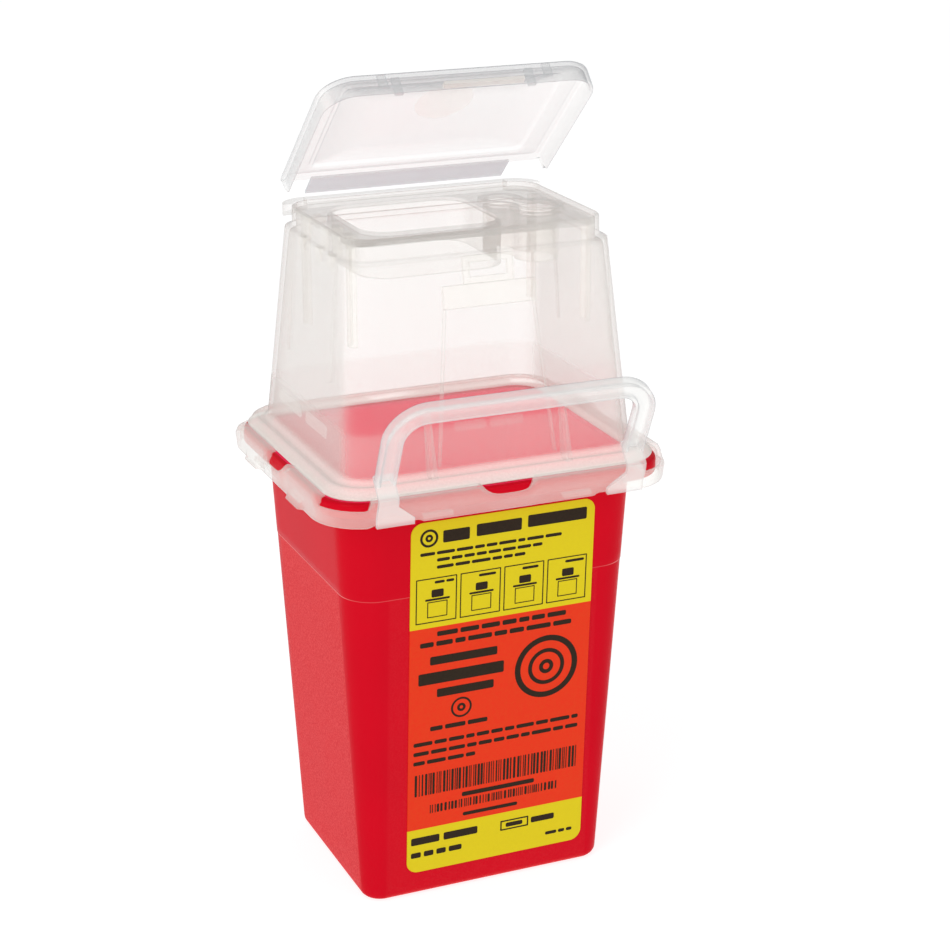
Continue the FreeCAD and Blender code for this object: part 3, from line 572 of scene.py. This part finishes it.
def hood_grid():
    """The clear top's main moulding as one closed section carried round: from the foot flange up
    the outside over its roll, up the tapered wall, over the shoulder and the deck's rim, and back
    down the inside. Each row is a rounded rectangle at its own height."""
    foot = [(56.6, 48.8, 12.9, 149.3, 0.0), (56.9, 49.1, 13.2, 149.8, 0.0), (56.7, 48.9, 13.0, 150.2, 0.0),
            (56.2, 48.4, 12.6, 150.6, 0.0), (55.7, 47.9, 12.3, 151.4, 0.1), (55.2, 47.5, 12.0, 152.2, 0.2),
            (54.6, 47.0, 11.6, 152.6, 0.2), (53.8, 46.3, 11.2, 152.6, 0.3), (52.7, 45.2, 10.6, 152.2, 0.4),
            (51.6, 44.1, 10.1, 152.2, 0.5), (50.9, 43.4, 9.7, 152.7, 0.5), (50.45, 42.95, 9.45, 153.5, 0.5)]
    wall_z = np.linspace(DOME_FOOT_Z + 1.0, SHOULDER - 1.6, 16)
    wall = [(*size, z, DOME_Y) for size, z in zip(dome_size(wall_z), wall_z)]
    top = [(45.72, 33.75, 9.5, SHOULDER - 0.7, 0.5), (45.5, 33.5, 9.4, SHOULDER - 0.25, 0.5),
           (45.1, 33.0, 9.3, SHOULDER, 0.5), (44.6, 31.7, 9.2, SHOULDER + 0.05, 0.5),
           (44.2, 30.95, 9.1, SHOULDER + 0.4, 0.5), (44.1, 30.8, 9.0, SHOULDER + 1.0, 0.5),
           (44.0, 30.7, 9.0, DECK_RIM_TOP - 0.9, 0.5), (43.85, 30.55, 8.8, DECK_RIM_TOP - 0.3, 0.5),
           (43.5, 30.2, 8.5, DECK_RIM_TOP, 0.5), (43.1, 29.8, 8.1, DECK_RIM_TOP - 0.1, 0.5),
           (42.8, 29.5, 7.8, DECK_RIM_TOP - 0.5, 0.5), (42.7, 29.4, 7.6, DECK_RIM_TOP - 1.2, 0.5),
           (42.7, 29.4, 7.6, SHOULDER - 0.9, 0.5), (42.9, 29.8, 7.7, SHOULDER - 1.3, 0.5),
           (43.7, 31.4, 7.9, SHOULDER - 1.5, 0.5), (44.1, 32.0, 7.9, SHOULDER - 1.9, 0.5)]
    inner_z = np.linspace(SHOULDER - 3.0, 152.5, 14)
    inner = [(*(size - DOME_WALL), z, DOME_Y) for size, z in zip(dome_size(inner_z), inner_z)]
    under = [(49.0, 41.5, 7.9, 151.0, 0.5), (49.4, 41.9, 8.2, 150.2, 0.5), (50.4, 42.9, 9.0, 149.7, 0.4),
             (53.0, 45.4, 10.6, 149.5, 0.2), (55.6, 47.8, 12.2, 149.2, 0.0)]
    rows = np.array(foot + wall + top + inner + under)
    return rings(rows[:, :3], rows[:, 3], rows[:, 4], arc=14, side=24)


# Closed sections of the collar as (distance out from the flange's edge, height): along the sides,
# along the front and back where the roll is fuller, and in the open windows and corners, where
# only the lower band is left.
SIDE_SECTION = ((-0.9, 150.3), (-0.1, 150.2), (0.8, 150.4), (1.8, 150.85), (2.6, 150.85), (3.4, 150.3),
                (3.95, 149.4), (4.2, 148.2), (4.1, 146.6), (3.9, 144.5), (3.9, 142.2), (3.7, 141.6),
                (3.3, 141.5), (2.9, 141.7), (2.75, 142.4), (2.75, 144.5), (2.95, 146.6), (3.0, 148.0),
                (2.8, 148.8), (2.3, 149.4), (1.8, 149.55), (0.8, 149.2), (-0.1, 149.05), (-0.9, 149.15))
FRONT_SECTION = ((-0.9, 150.3), (-0.1, 150.15), (0.8, 150.3), (2.0, 150.85), (3.3, 150.95), (4.5, 150.5),
                 (5.25, 149.6), (5.45, 148.4), (4.9, 146.5), (4.1, 144.5), (3.7, 142.2), (3.6, 141.6),
                 (3.2, 141.5), (2.8, 141.7), (2.55, 142.4), (2.9, 144.5), (3.7, 146.5), (4.2, 148.1),
                 (4.1, 148.9), (3.6, 149.5), (2.6, 149.65), (1.0, 149.2), (-0.1, 149.05), (-0.9, 149.15))
BAND_SECTION = ((2.9, 146.7), (2.95, 146.9), (3.05, 147.05), (3.2, 147.15), (3.45, 147.2), (3.8, 147.1),
                (4.1, 146.7), (4.3, 146.2), (4.3, 145.5), (4.1, 144.5), (3.9, 142.2), (3.7, 141.6),
                (3.3, 141.5), (2.9, 141.7), (2.75, 142.4), (2.75, 144.5), (2.8, 145.5), (2.82, 146.1),
                (2.83, 146.2), (2.84, 146.3), (2.85, 146.4), (2.86, 146.45), (2.87, 146.5), (2.88, 146.6))


def collar_grid():
    """The outer roll and skirt: a closed section carried round the flange's edge along its outward
    normals. The section blends from side to front shape with the normal's direction, and to the
    band section in the corners and in a window in the middle of each side. The side skirts' lower
    lip stands out in two half-round tabs, and the front skirt is shorter near the handle's hinges."""
    arc, side = 28, 120
    base = rings([FLANGE], [0.0], arc=arc, side=side)[0, :, :2]
    wider = rings([FLANGE + 1.0], [0.0], arc=arc, side=side)[0, :, :2]
    normal = wider - base
    far_x, far_y = np.abs(base[:, 0]), np.abs(base[:, 1])
    facing_y = smooth(np.abs(normal[:, 1]), 0.35, 0.95)
    along = np.where(facing_y > 0.5, far_x, far_y + 8.0)
    corner = smooth(along, 45.0, 47.2)
    window = np.clip(1.0 - (np.where(facing_y > 0.5, far_x, far_y) / WINDOW_HALF) ** 4, 0.0, 1.0)
    open_here = np.maximum(corner, window)
    sections = [np.array(section)[:, None, :] for section in (SIDE_SECTION, FRONT_SECTION, BAND_SECTION)]
    sides, front, band = sections
    wall = sides * (1 - facing_y)[None, :, None] + front * facing_y[None, :, None]
    section = wall * (1 - open_here)[None, :, None] + band * open_here[None, :, None]
    out, height = section[..., 0].copy(), section[..., 1].copy()
    upper = smooth(height, 143.0, 145.5)
    out += window[None, :] * upper * 0.9
    lip = np.zeros(len(SIDE_SECTION))    # share of each section point in the lower lip
    lip[9:14] = (0.1, 0.6, 1.0, 1.0, 0.4)
    tab = smooth(far_y, 13.5, 15.5) * (1 - smooth(far_y, 26.5, 28.5)) * (1 - facing_y)
    out += lip[:, None] * tab[None, :] * 1.5
    hem = np.zeros(len(SIDE_SECTION))    # the section's lowest points
    hem[10:15] = 1.0
    short = smooth(far_x, 29.0, 31.0) * (1 - corner) * (base[:, 1] < 0) * facing_y
    height += hem[:, None] * short[None, :] * 0.8
    grid = np.empty(out.shape + (3,))
    grid[..., :2] = base[None] + normal[None] * out[..., None]
    grid[..., 2] = height
    return grid


MARK_DEPTH = (-0.1, 0.2)         # the marks' underside and top, out from the dome's wall
FRONT_MARKS = ((-13.8, -3.4, 165.4, 168.2), (-1.6, 9.6, 165.4, 168.2))
LEFT_MARKS = ((-22.0, -2.0, 161.6, 165.8), (2.0, 24.0, 161.6, 165.8))


def dome_front_y(height, proud):
    """Depth of the dome's sloping front wall at a height, moved out by proud."""
    return DOME_Y - (dome_size(height)[..., 1] + proud)


def dome_side_x(height, proud):
    """Place of the dome's sloping left wall at a height, moved out by proud."""
    return -(dome_size(height)[..., 0] + proud)


# ---------------------------------------------------------------- lid

def opened(points):
    """Turns points drawn with the lid closed, its hinge line at the origin, to its angle at rest."""
    angle = math.radians(-LID_OPEN)
    y, z = points[..., 1].copy(), points[..., 2].copy()
    turned = points.copy()
    turned[..., 1] = HINGE[1] + y * math.cos(angle) - z * math.sin(angle)
    turned[..., 2] = HINGE[2] + y * math.sin(angle) + z * math.cos(angle)
    return turned


def lid_grid():
    """The lid as nested loops: from the middle of its raised panel out over the step, the border
    and the rounded edge, down the skirt, back up inside and in under the panel. Each row is a loop
    moved in from the lid's outline by its first number, at the height of its second. The outline's
    back corners are nearly square. The skirt's rows rise to the border along the back edge. Loops
    inside the panel keep its own proportions."""
    border, underside = 8.8, -0.5
    section = np.array((
        (24.0, 1.60), (9.6, 1.60), (9.1, 1.55), (border, 1.35), (8.6, 1.0), (8.3, 0.75), (7.8, 0.70),
        (2.6, 0.70), (2.2, 0.95), (1.7, 1.0), (1.2, 0.70), (0.6, 0.55), (0.2, 0.15), (0.0, -0.45),
        (0.0, -6.1), (0.15, -6.5), (0.5, -6.6), (0.9, -6.5), (1.1, -6.1), (1.2, -1.1), (1.45, -0.65),
        (1.9, underside), (8.6, underside), (9.1, -0.35), (9.5, 0.1), (9.8, 0.4), (24.0, 0.4)))
    inset, height = section[:, 0], section[:, 1]
    middle_y = -(LID_FRONT + LID_BACK) / 2
    half_depth = (LID_FRONT - LID_BACK) / 2 - inset * (1.0 - 0.3 * smooth(inset, 0.0, border))
    sizes = np.stack((LID_HALF - inset, half_depth, np.maximum(LID_RADIUS - inset, 2.6)), -1)
    grid = rings(sizes, height, middle_y, arc=14, side=30)
    sizes[:, 2] = LID_BACK_RADIUS + (sizes[:, 2] - LID_BACK_RADIUS) * smooth(inset, 2.6, border)
    square = rings(sizes, height, middle_y, arc=14, side=30)
    grid = np.where(grid[..., 1:2] > middle_y, square, grid)
    from_back = smooth(-grid[..., 1] - LID_BACK, 1.4, 2.8)
    hanging = underside + (grid[..., 2] - underside) * from_back
    grid[..., 2] = np.where((height < underside)[:, None], hanging, grid[..., 2])
    return opened(grid)


# ---------------------------------------------------------------- handle

def bow_grid():
    """The bail: a channel section carried along an arch of two legs, two quarter circles and a
    straight top, in a plane that leans forward. Each section point is (in from the arch's outer
    edge, forward from the plane)."""
    section = np.array(((0.0, 0.5), (0.0, 3.5), (0.25, 3.9), (0.65, 4.0), (1.1, 3.9), (1.3, 3.5), (1.35, 1.7),
                        (1.6, 1.3), (2.0, 1.15), (4.6, 1.15), (5.0, 1.3), (5.25, 1.7), (5.3, 2.9), (5.5, 3.3),
                        (5.95, 3.4), (6.4, 3.3), (6.6, 2.9), (6.6, 0.5), (6.4, 0.1), (6.1, 0.0), (0.5, 0.0),
                        (0.15, 0.15)))
    knee = BOW_TALL - BOW_RADIUS
    corner = BOW_HALF - BOW_RADIUS
    leg = np.linspace(2.2, knee, 10)[:-1]
    turn = np.linspace(0, np.pi / 2, 18)
    top = np.linspace(-corner, corner, 30)[1:-1]
    x = np.concatenate((np.full(leg.shape, -BOW_HALF), -corner - BOW_RADIUS * np.cos(turn), top,
                        corner + BOW_RADIUS * np.sin(turn), np.full(leg.shape, BOW_HALF)))
    up = np.concatenate((leg, knee + BOW_RADIUS * np.sin(turn), np.full(top.shape, BOW_TALL),
                         knee + BOW_RADIUS * np.cos(turn), leg[::-1]))
    in_x = np.concatenate((np.ones(leg.shape), np.cos(turn), np.zeros(top.shape),
                           -np.sin(turn), -np.ones(leg.shape)))
    in_up = -np.concatenate((np.zeros(leg.shape), np.sin(turn), np.ones(top.shape),
                             np.cos(turn), np.zeros(leg.shape)))
    inward, forward = section[:, 0], section[:, 1]
    x = x[:, None] + in_x[:, None] * inward[None]
    up = up[:, None] + in_up[:, None] * inward[None]
    lean = math.radians(BOW_LEAN)
    y = BOW_FOOT[0] - up * math.sin(lean) - forward[None] * math.cos(lean)
    z = BOW_FOOT[1] + up * math.cos(lean) - forward[None] * math.sin(lean)
    return np.stack((x, y, z), -1)


# ---------------------------------------------------------------- panel settings

def colour_setting(name, description, default):
    """A colour on the panel."""
    return FloatVectorProperty(name=name, description=description, subtype="COLOR", size=3,
                               min=0, max=1, default=default)


class ContainerSettings(bpy.types.PropertyGroup):
    """Colours and sizes of the container."""
    crimson: colour_setting("Bin red", "Colour of the bin", (0.70, 0.003, 0.016))
    # Painted highlight: colour of the pale line along the step.
    painted_step_highlight: colour_setting("Step line", "Colour of the bright edge of the step", (0.95, 0.40, 0.38))
    # Painted glow: colour of the emission on the bin's inner faces.
    inside: colour_setting("Inside red", "Colour of the light inside the bin", (0.66, 0.030, 0.140))
    # Partly painted sheen: lighter red of the grained faces, stronger where seen at a slant; the grain under
    # it is real.
    grain_and_painted_sheen: colour_setting("Grain haze", "Colour of the grained faces seen along them", (0.78, 0.060, 0.065))
    cream: colour_setting("Clear tint", "Tint of the clear top", (0.87, 0.84, 0.785))
    # Painted shade and reflection: colour of the clear top's glancing edges.
    edge_grey: colour_setting("Edge tint", "Tint of the clear top seen along it", (0.34, 0.315, 0.295))
    lid_tint: colour_setting("Lid tint", "Tint of the lid and handle", (0.88, 0.87, 0.84))
    # Painted shade and reflection: blue-grey colour of the lid's and handle's glancing edges.
    edge_blue: colour_setting("Lid edge tint", "Tint of the lid seen along it", (0.14, 0.175, 0.22))
    strip_tint: colour_setting("Strip tint", "Tint of the strip between lid and hinge", (0.60, 0.61, 0.64))
    yellow: colour_setting("Label yellow", "Outer bands of the label", (0.77, 0.63, 0.012))
    orange: colour_setting("Label orange", "Middle band of the label", (0.84, 0.030, 0.010))
    ink: colour_setting("Ink", "Colour of the printing", (0.022, 0.014, 0.008))
    floor: colour_setting("Floor", "Colour of the floor", (0.40, 0.40, 0.40))
    # Painted glow: strength of the emission on the bin's inner faces.
    painted_inner_glow: FloatProperty(name="Light inside", description="Strength of the light through the bin's wall",
                              min=0, max=1, default=0.40)
    # Painted glow: strength of the emission of the clear plastic.
    glow: FloatProperty(name="Scattered light", description="Strength of the glow of the clear plastic",
                        min=0, max=1, default=0.12)
    see: FloatProperty(name="Cover", description="How much one skin of the clear top hides", subtype="FACTOR",
                       min=0, max=1, default=0.10)
    grain_top: FloatProperty(name="Grain top", description="Height of the step above the grained faces",
                             subtype="DISTANCE", unit="LENGTH", default=0.1116)
    frost_top: FloatProperty(name="Frost top", description="Height up to which the clear top is matt",
                             subtype="DISTANCE", unit="LENGTH", default=0.1665)
    band_low: FloatProperty(name="Lower band edge", description="Height where the label's middle band starts",
                            subtype="DISTANCE", unit="LENGTH", default=0.0256)
    band_high: FloatProperty(name="Upper band edge", description="Height where the label's middle band ends",
                             subtype="DISTANCE", unit="LENGTH", default=0.0998)
    seed: IntProperty(name="Print seed", description="Start of the random lengths of the printed bars",
                      min=0, default=7)


class BuildBin(bpy.types.Operator):
    """Build the bin and its flanged rim"""
    bl_idname = "container.bin"
    bl_label = "Bin"

    def execute(self, context):
        piece("bin", bin_grid(), "bin", ["bin_shell"], "crimson_plastic", caps=("first", "last"))
        piece("rim", rim_grid(), "bin", ["bin_rim"], "crimson_plastic", close_rows=True,
              crease=50.0)
        return {"FINISHED"}


class BuildLabel(bpy.types.Operator):
    """Build the label and its plain printed bars and rings"""
    bl_idname = "container.label"
    bl_label = "Label"

    def execute(self, context):
        left, low = LABEL_X[0], LABEL_Z[0]
        x, z = rounded_loop(left, LABEL_X[1], low, LABEL_Z[1], 4.0, steps=10)
        edge = plate(x, z, -0.1, 0.3, front_y)
        face = plate(x * 0.9985, z, 0.36, 0.36, front_y)[:1]
        piece("label", np.concatenate((edge, face)), "bin", ["front_label"], "label_paper",
              caps=("last",))
        plates = []
        for x0, x1, z0, z1 in label_bars(context.scene.container.seed):
            bar_x, bar_z = rounded_loop(x0 + left, x1 + left, z0, z1, 0.45, steps=3)
            plates.append(plate(bar_x, bar_z, *INK_DEPTH, front_y))
        piece("label_print", plates, "bin", [], "printing_ink", caps=("last",))
        bands = [ring_band(x + left, z, outer, inner, *INK_DEPTH, front_y)
                 for x, z, outer, inner in LABEL_RINGS]
        piece("label_rings", bands, "bin", [], "printing_ink", close_rows=True)
        return {"FINISHED"}


class BuildTop(bpy.types.Operator):
    """Build the clear top's tapered hood, rim and foot roll, and finish the parts it carries"""
    bl_idname = "container.top"
    bl_label = "Clear top"

    def execute(self, context):
        piece("hood", hood_grid(), "top", ["dome_shell", "rim_wall", "foot_flange"], "clear_top",
              close_rows=True, crease=60.0)
        finish_nodes("clear_detail", "top_deck", "deposit_chute", "unwinder_plate", "hinge_ledge",
                     "rear_ears", "wall_ribs", "handle_rests", "snap_hooks")
        finish_nodes("clear_well", "unwinder_well", "corner_posts", "left_pillars", "front_frame",
                     "front_bar")
        front = [plate(*rounded_loop(*bar, 0.6, steps=3), *MARK_DEPTH, dome_front_y) for bar in FRONT_MARKS]
        left = [plate(*rounded_loop(*bar, 0.8, steps=3), *MARK_DEPTH, dome_side_x)[..., (1, 0, 2)]
                for bar in LEFT_MARKS]
        piece("fill_marks", front + left, "top", [], "raised_mark", caps=("first", "last"))
        return {"FINISHED"}


class BuildCollar(bpy.types.Operator):
    """Build the roll and skirt that snap over the bin's rim"""
    bl_idname = "container.collar"
    bl_label = "Collar"

    def execute(self, context):
        piece("collar", collar_grid(), "top",
              ["front_collar", "rear_collar", "left_collar", "right_collar", "front_left_bumper",
               "front_right_bumper", "rear_left_bumper", "rear_right_bumper", "release_tabs"],
              "clear_collar", close_rows=True, crease=60.0)
        return {"FINISHED"}


class BuildLid(bpy.types.Operator):
    """Build the lid's panel and skirt, and finish its strip, clips, pegs, tab and gate mark"""
    bl_idname = "container.lid"
    bl_label = "Lid"

    def execute(self, context):
        piece("lid", lid_grid(), "lid", ["lid_frame", "lid_panel", "lid_skirt"], "clear_lid",
              caps=("first", "last"), crease=60.0)
        finish_nodes("clear_lid", "lid_clips", "lid_pegs")
        finish_nodes("clear_strip", "lid_strip")
        finish_nodes("clear_tab", "thumb_tab")
        finish_nodes("clear_gate", "gate_mark")
        return {"FINISHED"}


class BuildHandle(bpy.types.Operator):
    """Build the bail's bow and finish its straps"""
    bl_idname = "container.handle"
    bl_label = "Handle"

    def execute(self, context):
        piece("bow", bow_grid(), "handle", ["handle_bow"], "clear_handle",
              caps=("first", "last"), crease=50.0)
        finish_nodes("clear_handle", "handle_straps")
        return {"FINISHED"}


# The stage, in metres, degrees and watts. A lamp has a place, a tilt up from straight down, a turn
# about the upright and a power.
FLOOR_HALF = 6.0
FLOOR_CUTS = 25
ROOM_LIGHT = 0.52
LAMP_SIZE = 0.9
LAMPS = (("key", (-1.1, -0.7, 1.2), 52, -58, 9.0), ("fill", (1.0, -1.3, 0.9), 60, 38, 3.0))
LENS = 87.5
EYE = (-0.2809, -0.6752, 0.3931)
EYE_DOWN = 19.39
EYE_TURN = -23.35


class BuildStage(bpy.types.Operator):
    """Make the floor, the soft light and the camera"""
    bl_idname = "container.stage"
    bl_label = "Stage"

    def execute(self, context):
        across = np.linspace(-FLOOR_HALF, FLOOR_HALF, FLOOR_CUTS)
        x, y = np.meshgrid(across, across, indexing="ij")
        points = np.stack((x, y, np.zeros_like(x)), -1)
        mesh = bpy.data.meshes.new("floor")
        mesh.from_pydata(points.reshape(-1, 3).tolist(), [], grid_faces(FLOOR_CUTS, FLOOR_CUTS, False, False))
        mesh.materials.append(material("floor_paper"))
        floor = bpy.data.objects.new("floor", mesh)
        context.collection.objects.link(floor)
        world = bpy.data.worlds.new("studio")
        world.use_nodes = True
        background = world.node_tree.nodes["Background"]
        background.inputs["Color"].default_value = (1.0, 1.0, 1.0, 1.0)
        background.inputs["Strength"].default_value = ROOM_LIGHT
        context.scene.world = world
        for name, place, tilt, turn, power in LAMPS:
            light = bpy.data.lights.new(name, "AREA")
            light.size = LAMP_SIZE
            light.energy = power
            lamp = bpy.data.objects.new(name, light)
            lamp.location = place
            lamp.rotation_euler = (math.radians(tilt), 0, math.radians(turn))
            context.collection.objects.link(lamp)
        camera = bpy.data.cameras.new("camera")
        camera.lens = LENS
        camera.sensor_width = 36.0
        camera.clip_start = 0.01
        eye = bpy.data.objects.new("camera", camera)
        eye.location = EYE
        eye.rotation_euler = (math.radians(90.0 - EYE_DOWN), 0.0, math.radians(EYE_TURN))
        context.collection.objects.link(eye)
        context.scene.camera = eye
        context.scene.view_settings.view_transform = "Standard"
        return {"FINISHED"}


OPERATORS = (BuildBin, BuildLabel, BuildTop, BuildCollar, BuildLid, BuildHandle, BuildStage)


class ContainerPanel(bpy.types.Panel):
    """Lists the container's pieces and settings"""
    bl_idname = "VIEW3D_PT_container"
    bl_label = "Sharps container"
    bl_space_type = "VIEW_3D"
    bl_region_type = "UI"
    bl_category = "Container"

    def draw(self, context):
        for name in ContainerSettings.__annotations__:
            self.layout.prop(context.scene.container, name)
        for operator in OPERATORS:
            self.layout.operator(operator.bl_idname)


CLASSES = (ContainerSettings, *OPERATORS, ContainerPanel)


def register():
    for cls in CLASSES:
        bpy.utils.register_class(cls)
    bpy.types.Scene.container = PointerProperty(type=ContainerSettings)


def unregister():
    del bpy.types.Scene.container
    for cls in reversed(CLASSES):
        bpy.utils.unregister_class(cls)


def main():
    register()
    bpy.ops.container.bin()
    bpy.ops.container.label()
    bpy.ops.container.top()
    bpy.ops.container.collar()
    bpy.ops.container.lid()
    bpy.ops.container.handle()
    bpy.ops.container.stage()


if __name__ == "__main__":
    main()
